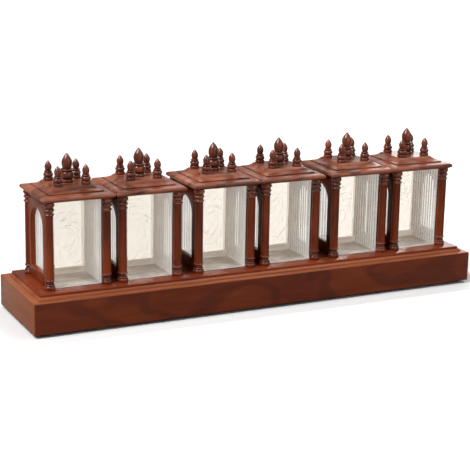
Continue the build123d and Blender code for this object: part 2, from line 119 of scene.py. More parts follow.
class Sheet:
    """One material or world while its nodes are drawn."""

    def __init__(self, owner: bpy.types.ID) -> None:
        """Empties the owner's node tree.

        Args:
            owner: The material or world.
        """
        owner.use_nodes = True
        self.tree = owner.node_tree
        self.tree.nodes.clear()

    def node(self, kind: str, settings: dict | None = None, values: dict | None = None,
             out: str | None = None) -> Wire:
        """Adds one node.

        Args:
            kind: The node's type.
            settings: Its settings, set first.
            values: Values or wires for its sockets, by name or number.
            out: The output wanted, or the first one in use.

        Returns:
            The wire from that output.
        """
        made = self.tree.nodes.new(kind)
        for key, value in (settings or {}).items():
            setattr(made, key, value)
        for key, value in (values or {}).items():
            socket = made.inputs[key] if isinstance(key, int) else next(
                s for s in made.inputs if s.name == key and s.enabled)
            if isinstance(value, Wire):
                self.tree.links.new(value.socket, socket)
            else:
                socket.default_value = value
        return Wire(self, next(s for s in made.outputs if s.enabled and out in (None, s.name)))

    def place(self, scale: Triple = (1, 1, 1), turn: Triple = (0, 0, 0), shift: Triple = (0, 0, 0)) -> Wire:
        """Object coordinates, turned and stretched by a Mapping node.

        Args:
            scale: How much the pattern is shrunk along each axis.
            turn: How far it is turned, in radians.
            shift: How far it is moved.

        Returns:
            The coordinates.
        """
        at = self.node("ShaderNodeTexCoord", out="Object")
        return self.node("ShaderNodeMapping", {},
                         {"Vector": at, "Location": shift, "Rotation": turn, "Scale": scale})

    def axis(self, name: str) -> Wire:
        """One of the Object coordinates; Z is the height above the table."""
        return self.node("ShaderNodeSeparateXYZ", {}, {"Vector": self.place()}, name)

    def noise(self, at: Wire, scale: float, detail: float = 2.0, distortion: float = 0.0) -> Wire:
        """Noise value between about 0.2 and 0.8."""
        return self.node("ShaderNodeTexNoise", {}, {"Vector": at, "Scale": scale, "Detail": detail,
                                                    "Distortion": distortion}, "Fac")

    def between(self, value: Wire, low: float, high: float) -> Wire:
        """Soft step from 0 at low to 1 at high."""
        return self.node("ShaderNodeMapRange", {"interpolation_type": "SMOOTHSTEP"},
                         {"Value": value, "From Min": low, "From Max": high})

    def blend(self, share: Wire | float, first: Wire | Colour, second: Wire | Colour) -> Wire:
        """Mixes two colours."""
        first, second = [c if isinstance(c, Wire) else (*c, 1.0) for c in (first, second)]
        return self.node("ShaderNodeMix", {"data_type": "RGBA"}, {"Factor": share, "A": first, "B": second})

    def bump(self, height: Wire, strength: float) -> Wire:
        """Normal from a height, at most a twentieth of a millimetre deep."""
        return self.node("ShaderNodeBump", {}, {"Height": height, "Strength": strength, "Distance": 0.05 * MM})

    def ray(self, kind: str) -> Wire:
        """1 for one kind of ray, 0 for the others."""
        return self.node("ShaderNodeLightPath", out=f"Is {kind} Ray")

    def seen(self) -> Wire:
        """1 for what the camera sees straight on or through clear pieces, 0 for light."""
        return self.ray("Camera") + self.ray("Transmission")

    def surface(self, **values: Wire | float | Colour) -> Wire:
        """Principled shader.

        Args:
            values: Its sockets' values or wires; underscores in the names stand for spaces.

        Returns:
            The shader.
        """
        given = {key.replace("_", " "): (*v, 1.0) if isinstance(v, tuple) and len(v) == 3 else v
                 for key, v in values.items()}
        return self.node("ShaderNodeBsdfPrincipled", {}, given)

    def clear(self, tint: Colour) -> Wire:
        """Transparent shader, which bends nothing."""
        return self.node("ShaderNodeBsdfTransparent", {}, {"Color": (*tint, 1.0)})

    def mixed(self, share: Wire, first: Wire, second: Wire) -> Wire:
        """Mixes two shaders."""
        return self.node("ShaderNodeMixShader", {}, {"Fac": share, 1: first, 2: second})

    def end(self, shader: Wire, kind: str = "ShaderNodeOutputMaterial") -> None:
        """Joins the shader to the output."""
        output = self.tree.nodes.new(kind)
        self.tree.links.new(shader.socket, output.inputs["Surface"])


# Finishes


@dataclass(frozen=True)
class Finish:
    """A finish that draws its material once."""

    name: str

    def draw(self, sheet: Sheet) -> Wire:
        """Draws the shader."""
        raise NotImplementedError

    def material(self) -> bpy.types.Material:
        """Draws the material the first time it is asked for.

        Returns:
            The finish's material.
        """
        found = bpy.data.materials.get(f"{self.name}_finish")
        if found is None:
            found = bpy.data.materials.new(f"{self.name}_finish")
            sheet = Sheet(found)
            sheet.end(self.draw(sheet))
        return found


@dataclass(frozen=True)
class Rosewood(Finish):
    """Polished rosewood with soft dark figure, fine streaks and open pores.

    Attributes:
        figure: How strong the dark veins and patches are.
        streaks: How strong the fine dark lines are.
        rubbed: Heights between which a moulding is painted lighter, a painted highlight; a metre up is
            nowhere.
    """

    grain: Grain = Grain.ALONG_X
    light: Colour = (0.30, 0.066, 0.024)
    middle: Colour = (0.19, 0.033, 0.010)
    dark: Colour = (0.045, 0.009, 0.005)
    figure: float = 0.75
    figure_scale: float = 34.0
    turn: Triple = (0.0, 0.0, 0.0)
    shift: Triple = (0.0, 0.0, 0.0)
    gloss: float = 0.3
    coat: float = 0.5
    coat_blur: float = 0.05
    shine: float = 0.25
    streaks: float = 0.16
    rubbed: tuple[float, float] = (1.0, 1.1)
    rubbed_wood: Colour = (0.38, 0.12, 0.05)
    band_scale: float = 190.0
    line_scale: float = 900.0
    pore_scale: float = 2600.0
    vein_level: float = 0.56

    def wear(self, sheet: Sheet, bands: Wire) -> Wire:
        """Finds where the moulding gets its painted highlight, a lighter band.

        Args:
            sheet: The sheet to draw on.
            bands: The wood's bands, which the painted highlight follows.

        Returns:
            How strong the painted highlight is, up to 0.7.
        """
        height = sheet.axis("Z")
        low, high = self.rubbed
        edge = sheet.between(height, low, low + 0.3 * MM) * sheet.between(height, high + 0.2 * MM, high)
        return edge * (sheet.between(bands, 0.3, 0.7) * 0.35 + 0.35)

    def draw(self, sheet: Sheet) -> Wire:
        """Draws the wood.

        Args:
            sheet: The sheet to draw on.

        Returns:
            The shader.
        """
        along = sheet.place(self.grain.value, shift=self.shift)
        turned = sheet.place(tuple(0.35 + 0.65 * s for s in self.grain.value), self.turn, self.shift)
        patches = sheet.noise(turned, self.figure_scale, 2.0, 0.8)
        clouds = sheet.noise(turned, self.figure_scale * 0.6, 1.0, 0.6)
        bands = sheet.noise(along, self.band_scale, 3.0, 0.4)
        lines = sheet.noise(along, self.line_scale, 2.0)
        pores = sheet.noise(along, self.pore_scale, 1.0)
        tone = sheet.between(bands, 0.25, 0.75) * 0.6 + sheet.between(clouds, 0.35, 0.65) * 0.4
        ground = sheet.blend(tone, self.middle, self.light)
        vein = sheet.between((patches - self.vein_level) ** 2, 0.0022, 0.0)
        shade = (vein * 0.5 + sheet.between(patches, 0.50, 0.68) * 0.4) * self.figure
        wood = sheet.blend(shade + sheet.between(lines, 0.52, 0.75) * self.streaks, ground, self.dark)
        wood = sheet.blend(sheet.between(pores, 0.62, 0.72) * 0.25, wood, self.dark)
        # Painted highlight: a lighter band along the moulded top edges.
        wood = sheet.blend(self.wear(sheet, bands), wood, self.rubbed_wood)
        return sheet.surface(Base_Color=wood, Roughness=sheet.between(lines, 0.2, 0.9) * 0.1 + self.gloss,
                             Normal=sheet.bump(sheet.between(pores, 0.75, 0.6), 0.1), Coat_Weight=self.coat,
                             Coat_Roughness=self.coat_blur, Specular_IOR_Level=self.shine)


@dataclass(frozen=True)
class ClearAcrylic(Finish):
    """Outer face of a stack of clear plates, which bends what is seen through it as the stack does."""

    tint: Colour = (0.985, 0.975, 0.955)
    index: float = 1.17

    def draw(self, sheet: Sheet) -> Wire:
        """Draws clear sheet, open to light from the lamps."""
        bent = sheet.surface(Base_Color=self.tint, Roughness=0.0, IOR=self.index, Transmission_Weight=1.0)
        return sheet.mixed(sheet.ray("Shadow"), bent, sheet.clear(self.tint))


@dataclass(frozen=True)
class InnerFace(Finish):
    """Face of a clear plate against its neighbour, which bends nothing.

    Attributes:
        haze: Share of dust on the whole face.
        foot: Share of haze added below foot_top, in full from foot_full down.
        glow: Painted light that the haze gives off, a stand-in for light carried through the stack.
    """

    tint: Colour = (0.9877, 0.9842, 0.979)
    haze: float = 0.006
    foot: float = 0.0
    glow: float = 0.0
    glow_colour: Colour = (0.88, 0.82, 0.80)
    dust: Colour = (0.80, 0.78, 0.74)
    pale_dust: Colour = (0.88, 0.86, 0.82)
    foot_top: float = 28.6 * MM
    foot_full: float = 28.1 * MM

    def draw(self, sheet: Sheet) -> Wire:
        """Draws a clear face.

        Args:
            sheet: The sheet to draw on.

        Returns:
            The shader.
        """
        colour = sheet.blend(sheet.noise(sheet.place(), 60.0, 2.0), self.dust, self.pale_dust)
        dust = sheet.surface(Base_Color=colour, Roughness=0.5, Emission_Color=self.glow_colour,
                             Emission_Strength=self.glow)
        share = sheet.between(sheet.axis("Z"), self.foot_top, self.foot_full) * self.foot + self.haze
        return sheet.mixed(share, sheet.clear(self.tint), dust)


@dataclass(frozen=True)
class Moulded(Finish):
    """Moulded or printed plastic, epoxy or nylon with a fine grain."""

    colour: Colour
    speck: Colour
    roughness: float = 0.4
    grain: float = 1500.0
    relief: float = 0.1
    metallic: float = 0.0
    # glow: emission of the surface's own colour, used as painted light.
    glow: float = 0.0
    stretch: float = 1.0
    shine: float = 0.5

    def draw(self, sheet: Sheet) -> Wire:
        """Draws the plastic.

        Args:
            sheet: The sheet to draw on.

        Returns:
            The shader.
        """
        grain = sheet.noise(sheet.place((self.stretch, 1, 1)), self.grain, 3.0)
        cloud = sheet.between(sheet.noise(sheet.place(), 90.0), 0.3, 0.7)
        colour = sheet.blend(cloud * 0.6 + sheet.between(grain, 0.4, 0.7) * 0.4, self.colour, self.speck)
        return sheet.surface(Base_Color=colour, Roughness=grain * 0.2 + (self.roughness - 0.1),
                             Normal=sheet.bump(grain, self.relief), Metallic=self.metallic,
                             Emission_Color=colour, Emission_Strength=self.glow, Specular_IOR_Level=self.shine)


@dataclass(frozen=True)
class EngravedLine(Finish):
    """Frosted line cut into a clear plate, which shows in places only."""

    colour: Colour = (0.24, 0.22, 0.20)
    pale: Colour = (0.44, 0.42, 0.39)
    strength: float = 0.26
    least: float = 0.03

    def draw(self, sheet: Sheet) -> Wire:
        """Draws the frost.

        Args:
            sheet: The sheet to draw on.

        Returns:
            The shader.
        """
        colour = sheet.blend(sheet.noise(sheet.place(), 4000.0, 2.0), self.colour, self.pale)
        caught = sheet.between(sheet.noise(sheet.place(), 110.0, 3.0), 0.52, 0.68)
        return sheet.surface(Base_Color=colour, Roughness=0.7, Alpha=caught * self.strength + self.least)


# The rails and the platform carry a lighter band along their moulded top edges, a painted highlight.
WOOD_X = Rosewood("rosewood_front", Grain.ALONG_X, light=(0.23, 0.044, 0.013), middle=(0.15, 0.024, 0.006),
                  figure=0.7, figure_scale=24.0, turn=(0.0, 0.75, 0.0), shift=(1.4, 0.42, 0.21),
                  gloss=0.38, coat=0.12, shine=0.14, rubbed=(20.45 * MM, 22 * MM))
WOOD_TOP = Rosewood("rosewood_platform", Grain.ALONG_X, light=(0.25, 0.045, 0.012),
                    middle=(0.15, 0.022, 0.005), figure=0.6, shift=(0.3, 0.1, 0.4), coat=0.35,
                    coat_blur=0.16, shine=0.05, streaks=0.25, rubbed=(20 * MM, 22.6 * MM))
WOOD_ROOF = Rosewood("rosewood_roof", Grain.ALONG_X, light=(0.46, 0.145, 0.075), middle=(0.15, 0.038, 0.019),
                     dark=(0.04, 0.012, 0.006), streaks=0.75, figure=0.8, shift=(0.7, 0.2, 0.1), coat=0.35,
                     coat_blur=0.16, shine=0.1)
# Painted shade: a near-black copy of the wood for the groove under each roof's step.
WOOD_GROOVE_SHADE = Rosewood("rosewood_groove_shade", Grain.ALONG_X, light=(0.045, 0.010, 0.005),
                       middle=(0.03, 0.007, 0.004), coat=0.2, shine=0.1)
WOOD_Y = Rosewood("rosewood_end", Grain.ALONG_Y, light=(0.28, 0.082, 0.030), middle=(0.21, 0.052, 0.017),
                  figure=0.3, shift=(0.2, 0.9, 0.3), gloss=0.38, coat=0.15, shine=0.2,
                  rubbed=(20.45 * MM, 22 * MM))
WOOD_Z = Rosewood("rosewood_upright", Grain.ALONG_Z, light=(0.24, 0.042, 0.010), middle=(0.13, 0.018, 0.003),
                  figure=0.6, shift=(0.5, 0.4, 0.8), coat=0.32, coat_blur=0.06, shine=0.08)
WOOD_TURNED = Rosewood("rosewood_finial", Grain.ALONG_Z, light=(0.32, 0.080, 0.036),
                       middle=(0.11, 0.019, 0.008), figure=0.8, figure_scale=75.0, shift=(0.35, 0.6, 0.5),
                       gloss=0.3, coat=1.0, coat_blur=0.13, shine=0.1)
# Painted shade: a near-black copy of the wood for the necks between turned rings.
WOOD_NECK_SHADE = Rosewood("rosewood_neck_shade", Grain.ALONG_Z, light=(0.09, 0.020, 0.010), middle=(0.05, 0.010, 0.005),
                     coat=0.6, shine=0.1)
# Painted shade: a darker copy of the upright wood for the panels in the gaps.
WOOD_SHADE = Rosewood("rosewood_shaded", Grain.ALONG_Z, light=(0.12, 0.020, 0.006),
                      middle=(0.06, 0.009, 0.003), figure=0.6, shift=(0.5, 0.4, 0.8), coat=0.3,
                      coat_blur=0.08, shine=0.05)
CLEAR = InnerFace("clear_acrylic")
RIM = InnerFace("frosted_rim", haze=0.2)
# The back rim and the hazy foot glow: painted light, a stand-in for light carried through the stack to their
# haze.
BACK_RIM = InnerFace("frosted_back_rim_glow", haze=0.5, glow=0.34)
FOOT = InnerFace("hazy_foot_glow", foot=0.72, glow=0.27)
POLISHED = ClearAcrylic("polished_acrylic")
# Sanded edges and bright chamfers glow, painted light for light carried through the sheet; the chamfers' paler
# colour is a painted highlight.
SANDED = Moulded("sanded_glowing_edge", (0.26, 0.246, 0.228), (0.34, 0.323, 0.303), 0.5, 900.0, glow=1.45, shine=0.1)
BRIGHT = Moulded("bevelled_glowing_edge", (0.36, 0.35, 0.335), (0.42, 0.41, 0.395), 0.5, 900.0, glow=1.4, shine=0.1)
ENGRAVED = EngravedLine("engraved_line")
COMB = Moulded("comb_plastic", (0.60, 0.54, 0.50), (0.98, 0.92, 0.88), 0.5, 500.0, stretch=0.05)
BLACK = Moulded("black_plastic", (0.012, 0.012, 0.012), (0.022, 0.022, 0.022), 0.45)
KEYS = Moulded("key_plastic", (0.03, 0.03, 0.032), (0.05, 0.05, 0.052), 0.35)
FELT = Moulded("felt", (0.012, 0.014, 0.013), (0.03, 0.032, 0.03), 0.95, 3000.0, 0.9)
BOARD = Moulded("circuit_board", (0.01, 0.085, 0.03), (0.014, 0.12, 0.045), 0.35, 700.0)
NYLON = Moulded("nylon", (0.62, 0.6, 0.54), (0.7, 0.68, 0.62), 0.5)
LENS = Moulded("led_lens", (0.75, 0.74, 0.68), (0.85, 0.84, 0.78), 0.25)
EPOXY = Moulded("chip_epoxy", (0.014, 0.014, 0.015), (0.024, 0.024, 0.025), 0.55, 2500.0, 0.25)
STEEL = Moulded("steel", (0.55, 0.55, 0.54), (0.66, 0.66, 0.65), 0.25, 2500.0, 0.05, 1.0)


# Bench: modelling with operators


def idle() -> None:
    """Leaves nothing selected."""
    bpy.ops.object.select_all(action="DESELECT")


def take(piece: bpy.types.Object) -> None:
    """Makes a piece the only one selected.

    Args:
        piece: The piece.
    """
    idle()
    piece.select_set(True)
    bpy.context.view_layer.objects.active = piece


def closed() -> None:
    """Goes back to object mode."""
    bpy.ops.object.mode_set(mode="OBJECT")


def all_selected(piece: bpy.types.Object) -> None:
    """Opens a piece in edit mode with all of it selected.

    Args:
        piece: The piece.
    """
    take(piece)
    bpy.ops.object.mode_set(mode="EDIT")
    bpy.ops.mesh.select_all(action="SELECT")


def none_selected(piece: bpy.types.Object, kind: str) -> None:
    """Leaves none of a piece's edges or faces selected.

    Args:
        piece: The piece.
        kind: What is picked next, "EDGE" or "FACE".
    """
    take(piece)
    bpy.ops.object.mode_set(mode="EDIT")
    bpy.ops.mesh.select_mode(type=kind)
    bpy.ops.mesh.select_all(action="DESELECT")
    closed()


def pick_edges(piece: bpy.types.Object, wanted: Test) -> None:
    """Opens a piece in edit mode with some edges selected.

    Args:
        piece: The piece.
        wanted: Tells from an edge's middle and direction whether it is picked.
    """
    none_selected(piece, "EDGE")
    points = piece.data.vertices
    for edge in piece.data.edges:
        first, last = [points[i].co for i in edge.vertices]
        edge.select = wanted((first + last) / 2, (last - first).normalized())
    bpy.ops.object.mode_set(mode="EDIT")


def pick_faces(piece: bpy.types.Object, wanted: Test) -> None:
    """Opens a piece in edit mode with some faces selected.

    Args:
        piece: The piece.
        wanted: Tells from a face's centre and direction whether it is picked.
    """
    none_selected(piece, "FACE")
    for face in piece.data.polygons:
        face.select = wanted(face.center, face.normal)
    bpy.ops.object.mode_set(mode="EDIT")


def placed(name: str, data: bpy.types.ID) -> bpy.types.Object:
    """Puts a mesh, lamp or camera into the scene.

    Args:
        name: The object's name.
        data: What it shows.

    Returns:
        The object.
    """
    item = bpy.data.objects.new(name, data)
    bpy.context.scene.collection.objects.link(item)
    return item


def blank(name: str, low: Vector, high: Vector) -> bpy.types.Object:
    """Adds a block.

    Args:
        name: Its name.
        low: Its lowest corner.
        high: Its highest corner.

    Returns:
        The block.
    """
    idle()
    bpy.ops.mesh.primitive_cube_add(size=1.0, location=(Vector(low) + Vector(high)) / 2)
    piece = bpy.context.object
    piece.name = piece.data.name = name
    piece.scale = Vector(high) - Vector(low)
    bpy.ops.object.transform_apply(location=True, rotation=True, scale=True)
    return piece


def rod(sides: int, radius: float, length: float, centre: Triple, turn: Triple) -> bpy.types.Object:
    """Adds a round tool for a cut.

    Args:
        sides: Its corners.
        radius: Its radius.
        length: Its length.
        centre: Its middle.
        turn: How it is turned from upright.

    Returns:
        The tool.
    """
    idle()
    bpy.ops.mesh.primitive_cylinder_add(vertices=sides, radius=radius, depth=length, location=centre,
                                        rotation=turn)
    return bpy.context.object


def round_edges(piece: bpy.types.Object, wanted: Test, width: float, segments: int,
                profile: float = 0.5) -> None:
    """Rounds some edges.

    Args:
        piece: The piece.
        wanted: Tells from an edge's middle and direction whether it is rounded.
        width: Width of the rounding.
        segments: Its parts.
        profile: Its fullness; under 0.5 is flatter than round.
    """
    pick_edges(piece, wanted)
    bpy.ops.mesh.bevel(offset=width, segments=segments, profile=profile)
    closed()


def soften(piece: bpy.types.Object, width: float, segments: int = 2, angle: float = 35.0) -> None:
    """Rounds every sharp edge with an applied Bevel modifier.

    Args:
        piece: The piece.
        width: Width of the rounding.
        segments: Its parts.
        angle: Edges flatter than this stay, in degrees.
    """
    take(piece)
    bevel = piece.modifiers.new("soften", "BEVEL")
    bevel.width = width
    bevel.segments = segments
    bevel.limit_method = "ANGLE"
    bevel.angle_limit = math.radians(angle)
    bevel.use_clamp_overlap = True
    bpy.ops.object.modifier_apply(modifier=bevel.name)


def slice_off(piece: bpy.types.Object, point: Vector, outward: Vector) -> None:
    """Cuts a piece along a plane, throws away one side and fills the cut.

    Args:
        piece: The piece.
        point: A point of the plane.
        outward: The plane's direction, towards the side that goes.
    """
    all_selected(piece)
    bpy.ops.mesh.bisect(plane_co=point, plane_no=outward, use_fill=True, clear_outer=True)
    closed()


def combine(piece: bpy.types.Object, other: bpy.types.Object, operation: str) -> None:
    """Joins or cuts a piece with another.

    Args:
        piece: The piece that stays.
        other: The other one, which is used up.
        operation: "UNION" or "DIFFERENCE".
    """
    take(piece)
    tool = piece.modifiers.new("combine", "BOOLEAN")
    tool.operation = operation
    tool.solver = "EXACT"
    tool.object = other
    bpy.ops.object.modifier_apply(modifier=tool.name)
    bpy.data.objects.remove(other)


def joined(pieces: list[bpy.types.Object], name: str) -> bpy.types.Object:
    """Joins pieces into the first one.

    Args:
        pieces: The pieces, in the order of their mesh.
        name: The joined piece's name.

    Returns:
        The joined piece.
    """
    idle()
    for piece in pieces:
        piece.select_set(True)
    bpy.context.view_layer.objects.active = pieces[0]
    if len(pieces) > 1:
        bpy.ops.object.join()
    pieces[0].name = pieces[0].data.name = name
    return pieces[0]


def repeated(master: bpy.types.Object, places: list[Vector], name: str) -> bpy.types.Object:
    """Copies a master piece, each copy with its own mesh, and joins the copies.

    Args:
        master: The piece modelled once; it is used up.
        places: How far each copy is moved.
        name: Name of the joined piece.

    Returns:
        The joined piece.
    """
    copies = []
    for place in places:
        mesh = master.data.copy()
        mesh.transform(Matrix.Translation(place))
        copies.append(placed(name, mesh))
    bpy.data.objects.remove(master)
    return joined(copies, name)


def stacked(name: str, sides: int, outline: Outline) -> bpy.types.Object:
    """Raises a form section by section, as a turner or a moulding plane would leave it.

    Args:
        name: The piece's name.
        sides: Corners of each section; four gives a square one.
        outline: Half width (radius) and height of each section; radius 0 ends in a tip.

    Returns:
        The closed piece about the Z axis.
    """
    idle()
    spread = math.sqrt(2.0) if sides == 4 else 1.0
    least = 0.001 * MM
    radius, height = outline[0]
    bpy.ops.mesh.primitive_circle_add(vertices=sides, radius=radius * spread, fill_type="NGON",
                                      location=(0, 0, height), rotation=(0, 0, math.pi / sides))
    piece = bpy.context.object
    piece.name = piece.data.name = name
    bpy.ops.object.transform_apply(location=True, rotation=True, scale=True)
    all_selected(piece)
    for next_radius, next_height in outline[1:]:
        bpy.ops.mesh.extrude_region_move(TRANSFORM_OT_translate={"value": (0, 0, next_height - height)})
        share = max(next_radius, least) / radius
        bpy.ops.transform.resize(value=(share, share, 1.0), center_override=(0, 0, next_height))
        radius, height = max(next_radius, least), next_height
    if outline[-1][0] == 0:
        bpy.ops.mesh.merge(type="CENTER")
    bpy.ops.mesh.select_all(action="SELECT")
    bpy.ops.mesh.remove_doubles(threshold=2 * least)
    bpy.ops.mesh.normals_make_consistent(inside=False)
    closed()
    return piece


def swell(base: float, proud: float, low: float, high: float, steps: int = 6) -> Outline:
    """Outline of a rounded ring or bulb between two heights.

    Args:
        base: Radius at both ends.
        proud: How far the middle stands out.
        low: Height where it starts.
        high: Height where it ends.
        steps: Parts of the curve.

    Returns:
        Its sections from low to high.
    """
    turns = [math.pi * i / steps for i in range(steps + 1)]
    return [(base + proud * math.sin(t), (low + high) / 2 - (high - low) / 2 * math.cos(t)) for t in turns]


def zone(face: bpy.types.MeshPolygon, *zones: Heights) -> int:
    """Finds the zone of a turned piece that a face lies in.

    Args:
        face: The face.
        zones: Lowest and highest points of each zone's parts, in millimetres.

    Returns:
        The zone's number from 1, or 0 outside them all.
    """
    height = face.center.z / MM
    return max((number for number, parts in enumerate(zones, 1)
                if any(low < height < high for low, high in parts)), default=0)


def painted(piece: bpy.types.Object, finishes: list[Finish],
            choose: Callable[[bpy.types.MeshPolygon], int]) -> None:
    """Gives a piece its finishes, and each face one of them.

    Args:
        piece: The piece.
        finishes: Its finishes.
        choose: Tells the number of a face's finish.
    """
    for finish in finishes:
        piece.data.materials.append(finish.material())
    for face in piece.data.polygons:
        face.material_index = choose(face)


def dressed(piece: bpy.types.Object, finishes: list[Finish], node: str,
            body: str = "clock", smooth: float = 40.0) -> bpy.types.Object:
    """Gives a piece its finishes and hands it to the frame.

    Args:
        piece: The finished mesh.
        finishes: One for each of its material slots.
        node: The CAD node it stands for.
        body: The CAD body it rides on.
        smooth: Edges flatter than this are shaded smooth.

    Returns:
        The piece.
    """
    take(piece)
    bpy.ops.object.shade_smooth_by_angle(angle=math.radians(smooth))
    while len(piece.data.materials) < len(finishes):
        piece.data.materials.append(None)
    for number, finish in enumerate(finishes):
        piece.data.materials[number] = finish.material()
    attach(piece, body)
    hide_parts(node)
    LOG.info("%s: %d faces, %s", piece.name, len(piece.data.polygons), finishes[0].name)
    return piece


def refinish(node: str, finish: Finish) -> None:
    """Gives a CAD node a better material.

    Args:
        node: The node's name.
        finish: Its finish.
    """
    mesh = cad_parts[node].data
    for number in range(len(mesh.materials)):
        mesh.materials[number] = finish.material()
    LOG.info("%s: %s", node, finish.name)


# The clock's sub-assemblies


@dataclass
class Layout:
    """Levels and rows of the clock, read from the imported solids."""

    panel_half: float = 1.5 * MM
    pavilions: list[float] = field(init=False)
    soffit: float = field(init=False)
    roof_half: float = field(init=False)
    roof_top: float = field(init=False)
    platform_top: float = field(init=False)
    column_x: float = field(init=False)
    column_y: float = field(init=False)

    def __post_init__(self) -> None:
        """Reads the places."""
        roofs = [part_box(f"roof_{number}") for number in DIGITS]
        self.pavilions = [(low.x + high.x) / 2 for low, high in roofs]
        low, high = roofs[0]
        self.soffit = low.z
        self.roof_half = (high.x - low.x) / 2
        self.roof_top = high.z
        self.platform_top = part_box("platform_board")[1].z
        low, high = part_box("front_columns")
        self.column_y = -(low.y + high.y) / 2
        self.column_x = self.pavilions[0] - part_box("left_panels")[0].x - self.panel_half

    def corners(self, offset: float, y: float, z: float) -> list[Vector]:
        """Places left and right of each pavilion's middle."""
        return [Vector((x + side * offset, y, z)) for x in self.pavilions for side in (-1, 1)]


@dataclass
class Plinth:
    """Four mitred rails, cut from one rounded blank, and the platform board on them."""

    rail_thickness: float = 9.0 * MM
    top_radius: float = 0.8 * MM
    corner_radius: float = 0.9 * MM
    edge: float = 0.12 * MM
    pocket_margin: float = 3.0 * MM
    pocket_depth: float = 2.0 * MM
    key_gap: float = 0.2 * MM
    inlet_radius: float = 6.0 * MM
    cut_depth: float = 20.0 * MM
    cut_edge: float = 0.25 * MM
    board_radius: float = 0.45 * MM
    bead_height: float = 1.9 * MM
    bead_radius: float = 1.6 * MM
    bead_fullness: float = 0.34
    comb_margin: float = 0.02 * MM
    comb_headroom: float = 5.0 * MM

    def build(self, layout: Layout) -> None:
        """Builds the rails and the platform.

        Args:
            layout: Places read from the solids.
        """
        low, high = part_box("front_rail")[0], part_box("back_rail")[1]
        whole = blank("plinth_blank", low, high)
        round_edges(whole, lambda middle, way: abs(way.z) > ALONG, self.corner_radius, 3)
        round_edges(whole, lambda middle, way: middle.z > high.z - NEAR and abs(way.z) < ACROSS,
                    self.top_radius, 4)
        sides = {"front_rail": ((0, -1, 0), WOOD_X), "left_rail": ((-1, 0, 0), WOOD_Y),
                 "right_rail": ((1, 0, 0), WOOD_Y), "back_rail": ((0, 1, 0), WOOD_X)}
        for name, (side, finish) in sides.items():
            rail = self.rail(whole, name, Vector(side), low, high)
            if name == "back_rail":
                self.open_back(rail)
            dressed(rail, [finish], name)
        bpy.data.objects.remove(whole)
        self.platform()

    def rail(self, whole: bpy.types.Object, name: str, side: Vector, low: Vector,
             high: Vector) -> bpy.types.Object:
        """Cuts one rail from a copy of the blank.

        Args:
            whole: The blank.
            name: The rail's name.
            side: Which way its outer face looks.
            low: The plinth's lowest corner.
            high: The plinth's highest corner.

        Returns:
            The rail with its mitres.
        """
        piece = placed(f"{name}_wood", whole.data.copy())
        across = Vector((-side.y, side.x, 0))
        half = (high - low) / 2
        reach = abs(half.x * side.x + half.y * side.y)
        width = abs(half.x * across.x) + abs(half.y * across.y)
        outer = (low + high) / 2 + side * reach
        slice_off(piece, outer - side * self.rail_thickness, -side)
        for end in (-1, 1):
            slice_off(piece, outer + across * end * width, across * end - side)
        soften(piece, self.edge, 1, SHARP)
        return piece

    def open_back(self, rail: bpy.types.Object) -> None:
        """Cuts the key pocket, the key windows and the inlet hole.

        Args:
            rail: The back rail.
        """
        keys = [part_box(name) for name in KEY_NAMES]
        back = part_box("back_rail")[1].y
        margin, gap = self.pocket_margin, self.key_gap
        low_x = min(low.x for low, _ in keys) + KEY_FLANGE
        high_x = max(high.x for _, high in keys) - KEY_FLANGE
        low_z, high_z = keys[0][0].z + KEY_FLANGE, keys[0][1].z - KEY_FLANGE
        combine(rail, blank("pocket", (low_x - margin, back - self.pocket_depth, low_z - margin),
                            (high_x + margin, back + self.pocket_depth, high_z + margin)), "DIFFERENCE")
        for low, high in keys:
            combine(rail, blank("window", (low.x + KEY_FLANGE - gap, back - self.cut_depth, low_z - gap),
                                (high.x - KEY_FLANGE + gap, back, high_z + gap)), "DIFFERENCE")
        low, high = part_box("power_jack")
        hole = rod(48, self.inlet_radius, 2 * self.cut_depth, ((low.x + high.x) / 2, back, JACK_HEIGHT),
                   (math.pi / 2, 0, 0))
        combine(rail, hole, "DIFFERENCE")
        soften(rail, self.cut_edge, 2, 50.0)

    def platform(self) -> None:
        """Builds the platform board with its bead and the comb windows."""
        low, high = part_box("platform_board")
        rail_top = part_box("front_rail")[1].z
        foot = Vector((low.x, low.y, rail_top))
        inset = Vector((self.bead_radius, self.bead_radius, 0))
        board = blank("platform_wood", foot + inset, high - inset)
        round_edges(board, lambda middle, way: middle.z > high.z - NEAR, self.board_radius, 3)
        bead = blank("bead", foot, Vector((high.x, high.y, rail_top + self.bead_height)))
        half_way = rail_top + self.bead_height / 2
        round_edges(bead, lambda middle, way: middle.z > half_way and abs(way.z) < ACROSS,
                    self.bead_radius, 5, self.bead_fullness)
        combine(board, bead, "UNION")
        margin = Vector((self.comb_margin, self.comb_margin, 0))
        for number in DIGITS:
            comb_low, comb_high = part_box(f"light_comb_{number}")
            top = Vector((*(comb_high + margin).xy, high.z + self.comb_headroom))
            combine(board, blank("window", comb_low - margin, top), "DIFFERENCE")
        dressed(board, [WOOD_TOP], "platform_board", smooth=50.0)


